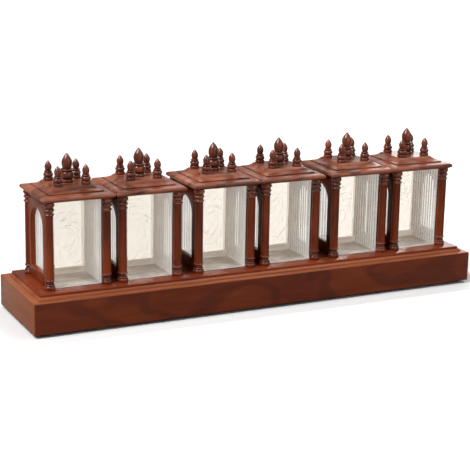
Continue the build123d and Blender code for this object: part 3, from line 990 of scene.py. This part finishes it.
@dataclass
class Columns:
    """Turned columns, four to a pavilion, with ringed feet and capitals.

    Attributes:
        necks: Heights of the necks, painted dark as shade, in millimetres.
        shafts: Heights of the plain shaft, in millimetres.
    """

    sides: int = 32
    height: float = 52.1 * MM
    foot: float = 3.35 * MM
    waist: float = 2.35 * MM
    shaft: float = 2.55 * MM
    capital: float = 3.4 * MM
    necks: Heights = ((2.15, 2.5), (3.25, 3.9), (4.75, 5.1), (45.5, 46.0), (46.6, 47.1), (48.3, 48.9),
                      (51.35, 51.6))
    shafts: Heights = ((6.0, 44.4),)

    def outline(self) -> Outline:
        """Works out the column's outline.

        Returns:
            Its sections from foot to capital.
        """
        foot, waist, shaft, capital = self.foot, self.waist, self.shaft, self.capital
        points = [(foot - 0.15 * MM, 0.0)]
        points += swell(foot - 0.45 * MM, 0.45 * MM, 0.0, 2.2 * MM, 8)
        points += [(foot - 0.75 * MM, 2.35 * MM)]
        points += swell(foot - 0.75 * MM, 0.35 * MM, 2.45 * MM, 3.3 * MM)
        points += [(waist + 0.15 * MM, 3.5 * MM), (waist, 4.1 * MM), (waist + 0.1 * MM, 4.8 * MM)]
        points += swell(shaft + 0.1 * MM, 0.4 * MM, 5.0 * MM, 5.9 * MM)
        points += [(shaft, 6.1 * MM), (shaft - 0.05 * MM, 26.0 * MM), (shaft - 0.12 * MM, 44.4 * MM)]
        points += swell(shaft - 0.05 * MM, 0.6 * MM, 44.6 * MM, 45.6 * MM)
        points += [(shaft - 0.2 * MM, 45.8 * MM), (shaft - 0.25 * MM, 46.6 * MM)]
        points += swell(shaft - 0.05 * MM, 0.65 * MM, 47.0 * MM, 48.4 * MM)
        points += [(waist + 0.1 * MM, 48.6 * MM), (shaft, 49.2 * MM), (capital - 0.3 * MM, 50.0 * MM)]
        points += swell(capital - 0.35 * MM, 0.35 * MM, 50.1 * MM, 51.3 * MM)
        points += [(capital - 0.45 * MM, 51.5 * MM), (capital - 0.2 * MM, self.height)]
        return points

    def build(self, layout: Layout) -> None:
        """Builds the front and the back row.

        Args:
            layout: Places read from the solids.
        """
        finishes = [WOOD_TURNED, WOOD_NECK_SHADE, WOOD_Z]
        for name, side in (("front_columns", -1), ("back_columns", 1)):
            master = stacked(name, self.sides, self.outline())
            # The necks get the near-black wood, painted shade between the rings.
            painted(master, finishes, lambda face: zone(face, self.necks, self.shafts))
            places = layout.corners(layout.column_x, side * layout.column_y, layout.platform_top)
            dressed(repeated(master, places, f"{name}_wood"), finishes, name)


@dataclass
class SidePanels:
    """Arched panels between the columns; those in the gaps get a darker copy of the wood, painted shade."""

    arch_radius: float = 11.2 * MM
    spring: float = 33.8 * MM
    sill: float = 7.5 * MM
    edge: float = 0.35 * MM
    column_overlap: float = 2.2 * MM

    def panel(self, name: str, half: float, reach: float, height: float) -> bpy.types.Object:
        """Models one panel.

        Args:
            name: Its name.
            half: Half its thickness.
            reach: Half its width.
            height: Its height.

        Returns:
            The panel, standing on the origin.
        """
        piece = blank(name, (-half, -reach, 0), (half, reach, height))
        through = 2 * half
        combine(piece, blank("opening", (-through, -self.arch_radius, self.sill),
                             (through, self.arch_radius, self.spring)), "DIFFERENCE")
        arch = rod(72, self.arch_radius, 4 * through, (0, 0, self.spring), (0, math.pi / 2, 0))
        combine(piece, arch, "DIFFERENCE")
        all_selected(piece)
        bpy.ops.mesh.remove_doubles(threshold=0.01 * MM)
        bpy.ops.mesh.dissolve_limited(angle_limit=math.radians(1))
        closed()
        soften(piece, self.edge, 2, 50.0)
        return piece

    def build(self, layout: Layout) -> None:
        """Builds the left and the right row of panels.

        Args:
            layout: Places read from the solids.
        """
        finishes = [WOOD_Z, WOOD_SHADE]
        for name, side in (("left_panels", -1), ("right_panels", 1)):
            low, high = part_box(name)
            master = self.panel(name, layout.panel_half, layout.column_y - self.column_overlap, high.z - low.z)
            places = [Vector((x + side * layout.column_x, 0, low.z)) for x in layout.pavilions]
            row = repeated(master, places, f"{name}_wood")
            outermost = layout.pavilions[0 if side < 0 else -1] + side * layout.column_x
            # Panels away from the outer ends get the darker copy, painted shade.
            painted(row, finishes, lambda face: int(abs(face.center.x - outermost) > 10 * MM))
            dressed(row, finishes, name)


@dataclass
class Roofs:
    """Hipped roofs: bevelled eave, fat rounded nose, gentle slope, step and cove."""

    top: float = 11.8 * MM
    height: float = 6.9 * MM
    step_inset: float = 5.5 * MM
    step_height: float = 3.5 * MM
    step_top: float = 4.2 * MM
    groove_depth: float = 0.35 * MM
    groove_middle: float = 0.2 * MM
    groove_half: float = 0.22 * MM
    edge: float = 0.12 * MM
    cove_sag: float = 0.75 * MM
    cove_steps: int = 7

    def outline(self, eave: float) -> Outline:
        """Works out a roof's outline.

        Args:
            eave: Half width at the eave.

        Returns:
            Half width and height of each section from the soffit up.
        """
        step = eave - self.step_inset
        ledge = step - 0.5 * MM
        groove = self.step_height - self.groove_depth
        points = [(eave - 1.5 * MM, 0.0), (eave - 0.35 * MM, 0.75 * MM), (eave - 0.06 * MM, 1.25 * MM)]
        points += [(eave, 1.6 * MM), (eave - 0.12 * MM, 2.1 * MM), (eave - 0.45 * MM, 2.55 * MM)]
        points += [(eave - 1.0 * MM, 2.92 * MM), (eave - 1.9 * MM, 3.2 * MM), (eave - 3.2 * MM, 3.38 * MM)]
        points += [(step + 0.45 * MM, self.step_height), (step + 0.35 * MM, groove), (step, groove)]
        points += [(step, self.step_top - 0.15 * MM), (step - 0.2 * MM, self.step_top), (ledge, self.step_top)]
        for i in range(1, self.cove_steps + 1):
            share = i / self.cove_steps
            sag = self.cove_sag * math.sin(math.pi * share)
            points.append((ledge - (ledge - self.top) * share - sag * 0.5,
                           self.step_top + (self.height - self.step_top) * share - sag * 0.6))
        points.append((self.top - 0.15 * MM, self.height))
        return points

    def build(self, layout: Layout) -> None:
        """Builds a roof over each pavilion.

        Args:
            layout: Places read from the solids.
        """
        finishes = [WOOD_ROOF, WOOD_GROOVE_SHADE]
        step = layout.roof_half - self.step_inset

        def in_groove(face: bpy.types.MeshPolygon) -> int:
            """Finds the groove before the step, whose faces are painted dark as shade.

            Args:
                face: A face of the roof about the origin.

            Returns:
                1 for a face of the groove, 0 for any other.
            """
            reach = max(abs(face.center.x), abs(face.center.y))
            in_line = abs(reach - step - self.groove_middle) < self.groove_half
            return int(in_line and face.center.z < self.step_height)

        for number, x in enumerate(layout.pavilions, 1):
            roof = stacked(f"roof_{number}_wood", 4, self.outline(layout.roof_half))
            # The groove's faces get the near-black wood, painted shade under the step.
            painted(roof, finishes, in_groove)
            roof.data.transform(Matrix.Translation((x, 0, layout.soffit)))
            soften(roof, self.edge, 1, SHARP)
            dressed(roof, finishes, f"roof_{number}", smooth=30.0)


@dataclass
class Finials:
    """Turned finials: a ring of four small ones round each large one.

    Attributes:
        small_necks: Heights of the small ones' necks, painted dark as shade, in millimetres.
        large_necks: The same for the large ones.
    """

    sides: int = 28
    offset: float = 8.65 * MM
    small_necks: Heights = ((1.7, 2.45), (4.35, 4.95), (5.55, 6.1))
    large_necks: Heights = ((1.7, 3.4), (6.3, 7.05), (7.9, 8.6))

    def small(self) -> Outline:
        """Works out a corner finial's outline.

        Returns:
            Its sections from foot to tip.
        """
        points = [(2.7 * MM, 0.0)]
        points += swell(2.6 * MM, 0.38 * MM, 0.0, 1.9 * MM, 8)
        points += [(2.2 * MM, 2.0 * MM), (2.15 * MM, 2.2 * MM)]
        points += swell(2.3 * MM, 0.65 * MM, 2.3 * MM, 4.5 * MM, 8)
        points += [(1.8 * MM, 4.6 * MM), (1.8 * MM, 4.75 * MM)]
        points += swell(1.95 * MM, 0.5 * MM, 4.8 * MM, 5.7 * MM)
        points += [(1.65 * MM, 5.8 * MM)]
        return points + self.bud(1.7 * MM, 2.15 * MM, 5.9 * MM, 12.0 * MM)

    def large(self) -> Outline:
        """Works out a centre finial's outline.

        Returns:
            Its sections from foot to tip.
        """
        points = [(3.6 * MM, 0.0)]
        points += swell(3.55 * MM, 0.52 * MM, 0.0, 1.9 * MM, 8)
        points += [(3.1 * MM, 2.0 * MM), (3.05 * MM, 2.3 * MM)]
        points += swell(3.15 * MM, 1.0 * MM, 2.4 * MM, 6.6 * MM, 10)
        points += [(2.9 * MM, 6.7 * MM), (2.85 * MM, 6.85 * MM)]
        points += swell(3.1 * MM, 0.8 * MM, 6.9 * MM, 8.1 * MM)
        points += [(2.5 * MM, 8.2 * MM)]
        return points + self.bud(2.55 * MM, 3.2 * MM, 8.3 * MM, 17.6 * MM)

    @staticmethod
    def bud(base: float, widest: float, low: float, high: float) -> Outline:
        """Works out the outline of a pointed bud, widest a third of the way up.

        Args:
            base: Radius where it starts.
            widest: Largest radius.
            low: Height where it starts.
            high: Height of its tip.

        Returns:
            Its sections, ending in the tip.
        """
        widest_at, taper, fullness = 0.37, 1.75, 0.12 * MM
        third = low + (high - low) * widest_at
        lower = [(base + (widest - base) * math.sin(math.pi / 2 * t), low + (third - low) * t)
                 for t in (0.0, 0.25, 0.5, 0.75, 1.0)]
        upper = [(widest * (1 - t ** taper) + fullness * t * (1 - t), third + (high - third) * t)
                 for t in (0.15, 0.3, 0.45, 0.6, 0.75, 0.88)]
        return lower + upper + [(0.0, high)]

    def row(self, name: str, outline: Outline, necks: Heights, places: list[Vector]) -> None:
        """Builds one row of finials.

        Args:
            name: The row's CAD node.
            outline: One finial's outline.
            necks: Heights of its necks, painted dark as shade.
            places: Where the finials stand.
        """
        finishes = [WOOD_TURNED, WOOD_NECK_SHADE]
        master = stacked(name, self.sides, outline)
        # The necks get the near-black wood, painted shade between the rings.
        painted(master, finishes, lambda face: zone(face, necks))
        dressed(repeated(master, places, f"{name}_wood"), finishes, name)

    def build(self, layout: Layout) -> None:
        """Builds the two rows of small finials and the large ones.

        Args:
            layout: Places read from the solids.
        """
        for name, side in (("front_finials", -1), ("back_finials", 1)):
            self.row(name, self.small(), self.small_necks,
                     layout.corners(self.offset, side * self.offset, layout.roof_top))
        self.row("centre_finials", self.large(), self.large_necks,
                 [Vector((x, 0, layout.roof_top)) for x in layout.pavilions])


@dataclass
class DigitPlates:
    """Ten clear plates to a digit, each engraved with the outline of one numeral."""

    count: int = 10
    thickness: float = 2.5 * MM
    numeral_height: float = 34.0 * MM
    numeral_middle: float = 26.0 * MM
    line: float = 0.1 * MM
    chamfer: float = 0.18 * MM
    rim: float = 1.2 * MM

    def plate(self, low: Vector, high: Vector) -> bpy.types.Object:
        """Models one plate with sanded edges, bright chamfers and frosted rims; edges and chamfers glow as
        painted light, the chamfers' paleness a painted highlight.

        Args:
            low: Its lowest corner.
            high: Its highest corner.

        Returns:
            The plate.
        """
        piece = blank("plate", low, high)
        for finish in (CLEAR, SANDED, BRIGHT, POLISHED, RIM, BACK_RIM):
            piece.data.materials.append(finish.material())
        all_selected(piece)
        bpy.ops.mesh.bevel(offset=self.chamfer, segments=1, material=PlateSlot.CHAMFER)
        closed()
        for face in piece.data.polygons:
            if max(abs(face.normal.x), abs(face.normal.z)) > ALONG:
                face.material_index = PlateSlot.EDGE
        pick_faces(piece, lambda centre, way: abs(way.y) > ALONG)
        bpy.ops.mesh.inset(thickness=self.rim, use_individual=True)
        closed()
        for face in piece.data.polygons:
            if abs(face.normal.y) > ALONG and not face.select:
                face.material_index = PlateSlot.RIM
        return piece

    def numeral(self, figure: int) -> bpy.types.Object:
        """Models the outline of one numeral, standing in the XZ plane about the origin.

        Args:
            figure: The numeral, 0 to 9.

        Returns:
            A mesh of fine lines.
        """
        idle()
        bpy.ops.object.text_add(location=(0, 0, 0))
        text = bpy.context.object
        text.data.body = str(figure)
        text.data.resolution_u = 4
        bpy.ops.object.convert(target="CURVE")
        text = bpy.context.object
        text.data.dimensions = "3D"
        text.data.fill_mode = "FULL"
        scale = self.numeral_height / text.dimensions.y
        text.data.bevel_depth = self.line / scale
        text.data.bevel_resolution = 0
        bpy.ops.object.convert(target="MESH")
        lines = bpy.context.object
        points = [v.co for v in lines.data.vertices]
        middle = Vector((sum(p.x for p in points), sum(p.y for p in points), 0)) / len(points)
        lines.data.transform(Matrix.Rotation(math.pi / 2, 4, "X") @ Matrix.Scale(scale, 4)
                             @ Matrix.Translation(-middle))
        lines.data.materials.clear()
        lines.data.materials.append(ENGRAVED.material())
        return lines

    def settled(self, face: bpy.types.MeshPolygon, front: float, back: float) -> int:
        """Finds a face's slot once its stack is whole.

        Args:
            face: The face.
            front: The stack's foremost Y.
            back: Its rearmost Y.

        Returns:
            The slot.
        """
        slot, y = face.material_index, face.center.y
        if slot == PlateSlot.RIM and abs(y - back) < NEAR:
            return PlateSlot.BACK_RIM
        if slot == PlateSlot.CLEAR and abs(y - back) < NEAR:
            return PlateSlot.OUTER if face.select else PlateSlot.BACK_RIM
        if slot == PlateSlot.CLEAR and abs(y - front) < NEAR:
            return PlateSlot.OUTER
        if slot == PlateSlot.CLEAR and abs(y - back + self.thickness) < NEAR:
            return PlateSlot.FOOT
        return slot

    def build(self, layout: Layout) -> None:
        """Builds the six stacks.

        Args:
            layout: Places read from the solids.
        """
        numerals = [self.numeral(figure) for figure in range(self.count)]
        finishes = [CLEAR, SANDED, BRIGHT, POLISHED, RIM, BACK_RIM, ENGRAVED, FOOT]
        height = layout.platform_top + self.numeral_middle
        for number, x in enumerate(layout.pavilions, 1):
            low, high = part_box(f"digit_plates_{number}")
            pitch = (high.y - low.y - self.thickness) / (self.count - 1)
            parts = []
            for step, numeral in enumerate(numerals):
                front = low.y + step * pitch
                back = front + self.thickness
                parts.append(self.plate(Vector((low.x, front, low.z)), Vector((high.x, back, high.z))))
                lines = placed("lines", numeral.data.copy())
                lines.data.transform(Matrix.Translation((x, back, height)))
                parts.append(lines)
            stack = joined(parts, f"digit_plates_{number}_clear")
            middle = (low + high) / 2
            pick_faces(stack, lambda centre, way: way.y > ALONG and centre.y > high.y - NEAR
                       and (centre - middle).xz.length < 1 * MM)
            bpy.ops.mesh.inset(thickness=self.rim)
            closed()
            for face in stack.data.polygons:
                face.material_index = self.settled(face, low.y, high.y)
            dressed(stack, finishes, f"digit_plates_{number}", smooth=20.0)
        for lines in numerals:
            bpy.data.objects.remove(lines)


@dataclass
class Keys:
    """Push keys: a rounded, dished cap on a shank, with a flange that keeps it in the rail."""

    flange_thickness: float = 1.2 * MM
    rounding: float = 0.6 * MM
    dish_margin: float = 0.9 * MM
    dish: float = 0.35 * MM
    edge: float = 0.25 * MM

    def build(self) -> None:
        """Builds the three keys, each riding on its own body."""
        margin = Vector((KEY_FLANGE, 0, KEY_FLANGE))
        for name in KEY_NAMES:
            low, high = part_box(name)
            key = blank(f"{name}_cap", low + margin, high - margin)
            round_edges(key, lambda middle, way: abs(way.y) > ALONG, self.rounding, 4)
            pick_faces(key, lambda centre, way: way.y > ALONG)
            bpy.ops.mesh.inset(thickness=self.dish_margin, depth=-self.dish)
            closed()
            soften(key, self.edge, 3, 20.0)
            flange = blank("flange", low, Vector((high.x, low.y + self.flange_thickness, high.z)))
            round_edges(flange, lambda middle, way: abs(way.y) > ALONG, self.rounding, 3)
            combine(key, flange, "UNION")
            dressed(key, [KEYS], name, body=name, smooth=30.0)


@dataclass
class PowerJack:
    """Barrel jack with a flared mouth and a steel pin."""

    bore: float = 3.1 * MM
    bore_depth: float = 9.5 * MM
    pin: float = 1.0 * MM
    pin_foot: float = 0.2 * MM
    flare: float = 0.4 * MM
    edge: float = 0.3 * MM

    def build(self) -> None:
        """Builds the jack."""
        low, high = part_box("power_jack")
        middle = (low.x + high.x) / 2
        bore, depth, pin = self.bore, self.bore_depth, self.pin
        body = blank("jack_body", low, high)
        soften(body, self.edge, 2)
        body.data.materials.append(BLACK.material())
        mouth = stacked("mouth", 48, [(bore, 0.0), (bore, depth - self.flare), (bore + self.flare, depth),
                                      (bore + self.flare, 12 * MM)])
        self.lay(mouth, middle, high.y - depth)
        combine(body, mouth, "DIFFERENCE")
        post = stacked("pin", 24, [(pin, 0.0), (pin, depth - 1.0 * MM), (pin * 0.8, depth - 0.5 * MM),
                                   (pin * 0.4, depth - 0.3 * MM)])
        self.lay(post, middle, high.y - depth - self.pin_foot)
        post.data.materials.append(STEEL.material())
        dressed(joined([body, post], "power_jack_body"), [BLACK, STEEL], "power_jack")

    def lay(self, piece: bpy.types.Object, x: float, y: float) -> None:
        """Lays an upright turned piece along the jack's axis, its foot at a depth."""
        piece.data.transform(Matrix.Translation((x, y, JACK_HEIGHT)) @ Matrix.Rotation(-math.pi / 2, 4, "X"))


class Works:
    """Boards and parts inside the plinth, and its underside."""

    def build(self) -> None:
        """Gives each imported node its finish."""
        finishes = {
            BLACK: ["bottom_cover", "buzzer", "cell_holder", "key_switches"],
            FELT: ["felt_pad"], BOARD: ["main_board"], NYLON: ["board_posts"], LENS: ["led_bars"],
            EPOXY: ["driver_chips", "controller_chip", "clock_chip"], STEEL: ["crystal", "backup_cell"],
            COMB: [f"light_comb_{number}" for number in DIGITS],
        }
        for finish, nodes in finishes.items():
            for node in nodes:
                refinish(node, finish)


# The studio and the camera


@dataclass(frozen=True)
class Lamp:
    """A square lamp that looks at the clock."""

    name: str
    place: Triple
    size: float
    power: float
    aim: Triple = (0, 0, 0.04)

    def build(self) -> None:
        """Hangs the lamp."""
        data = bpy.data.lights.new(self.name, "AREA")
        data.size = self.size
        data.energy = self.power
        lamp = placed(self.name, data)
        lamp.location = self.place
        lamp.rotation_euler = (Vector(self.aim) - Vector(self.place)).to_track_quat("-Z", "Y").to_euler()


@dataclass
class Studio:
    """Pale floor, even white surroundings and five soft lamps."""

    floor_size: float = 6.0
    sky: float = 0.22
    seen_sky: float = 1.1
    floor_light: Colour = (0.34, 0.33, 0.32)
    floor_seen: Colour = (0.80, 0.80, 0.80)
    clock_half: tuple[float, float] = (0.150, 0.0335)
    # shade: width of the band round the clock that gets no glow, a painted shadow.
    shade: float = 0.015
    shade_blur: float = 0.004
    white: float = 0.4
    far: tuple[float, float] = (0.3, 1.2)
    grey_behind: float = 0.22
    behind_x: tuple[float, float] = (0.20, -0.06)
    behind_y: tuple[float, float] = (0.05, 0.12)
    lamps: tuple[Lamp, ...] = (
        Lamp("key_lamp", (-0.8, -0.15, 1.15), 0.7, 20.0),
        Lamp("fill_lamp", (0.5, -1.3, 0.7), 1.0, 3.3),
        Lamp("back_lamp", (0.6, 0.85, 0.92), 1.0, 4.0),
        Lamp("low_lamp", (1.06, 1.0, 0.39), 0.6, 3.4),
        Lamp("top_lamp", (0.57, -0.31, 1.1), 0.5, 2.4),
    )

    def build(self) -> None:
        """Builds the floor, the surroundings and the lamps."""
        self.floor()
        self.surroundings()
        for lamp in self.lamps:
            lamp.build()

    def whiteness(self, sheet: Sheet) -> Wire:
        """Finds how far the floor glows up to white: away from the clock, not in a band round it, which paints
        a soft shadow, and less behind it.

        Args:
            sheet: The floor's sheet.

        Returns:
            The strength of its glow.
        """
        away = sheet.node("ShaderNodeVectorMath", {"operation": "LENGTH"}, {0: sheet.place()}, "Value")
        x, y = sheet.axis("X"), sheet.axis("Y")
        beside = []
        for value, half in zip((x, y), self.clock_half):
            low, high = [(half + self.shade + blur) ** 2 for blur in (-self.shade_blur, self.shade_blur)]
            beside.append(sheet.between(value ** 2, low, high))
        clear = (beside[0] + beside[1]) * self.white
        behind = sheet.between(y, *self.behind_y) * sheet.between(x, *self.behind_x)
        lit = sheet.between(away, *self.far) * self.white + sheet.between(clear, 0.0, self.white) * self.white
        return lit - behind * self.grey_behind

    def floor(self) -> None:
        """Builds the floor, which reads as white to the camera and keeps the clock's shadow; a band round the
        clock without glow paints a soft shadow there too.
        """
        idle()
        bpy.ops.mesh.primitive_grid_add(x_subdivisions=4, y_subdivisions=4, size=self.floor_size)
        floor = bpy.context.object
        floor.name = "floor"
        material = bpy.data.materials.new("floor_white")
        sheet = Sheet(material)
        seen = sheet.seen()
        sheet.end(sheet.surface(Base_Color=sheet.blend(seen, self.floor_light, self.floor_seen), Roughness=0.8,
                                Specular_IOR_Level=0.1, Emission_Color=(1.0, 1.0, 1.0),
                                Emission_Strength=seen * self.whiteness(sheet)))
        floor.data.materials.append(material)

    def surroundings(self) -> None:
        """Makes them white to the camera and in clear pieces, and softer as light."""
        world = bpy.data.worlds.new("surroundings")
        bpy.context.scene.world = world
        sheet = Sheet(world)
        strength = sheet.seen() * (self.seen_sky - self.sky) + self.sky
        light = sheet.node("ShaderNodeBackground", {}, {"Color": (1.0, 1.0, 0.99, 1.0), "Strength": strength})
        sheet.end(light, "ShaderNodeOutputWorld")


@dataclass
class PhotoCamera:
    """The photograph's viewpoint."""

    place: Triple = (-0.383031, -0.764501, 0.265564)
    yaw: float = 0.45736
    pitch: float = 0.259
    roll: float = 0.02
    lens: float = 106.9
    sensor: float = 36.0

    def build(self) -> None:
        """Builds the camera."""
        forward = Vector((math.sin(self.yaw) * math.cos(self.pitch), math.cos(self.yaw) * math.cos(self.pitch),
                          -math.sin(self.pitch)))
        level = Vector((math.cos(self.yaw), -math.sin(self.yaw), 0))
        upward = level.cross(forward)
        right = math.cos(self.roll) * level + math.sin(self.roll) * upward
        up = -math.sin(self.roll) * level + math.cos(self.roll) * upward
        data = bpy.data.cameras.new("photo_camera")
        data.lens = self.lens
        data.sensor_width = self.sensor
        camera = placed("photo_camera", data)
        turn = Matrix((right, up, -forward)).transposed().to_4x4()
        camera.matrix_world = Matrix.Translation(self.place) @ turn
        bpy.context.scene.camera = camera


def main() -> None:
    """Builds the studio and the clock."""
    logging.basicConfig(level=logging.INFO, format="%(name)s %(message)s")
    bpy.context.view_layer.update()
    scene = bpy.context.scene
    scene.view_settings.view_transform = "Standard"
    scene.cycles.max_bounces = BOUNCES
    scene.cycles.transmission_bounces = BOUNCES
    scene.cycles.transparent_max_bounces = BOUNCES
    scene.cycles.glossy_bounces = 8
    scene.cycles.diffuse_bounces = 2
    PhotoCamera().build()
    Studio().build()
    layout = Layout()
    Plinth().build(layout)
    Columns().build(layout)
    SidePanels().build(layout)
    Roofs().build(layout)
    Finials().build(layout)
    DigitPlates().build(layout)
    Keys().build()
    PowerJack().build()
    Works().build()


if __name__ == "__main__":
    main()
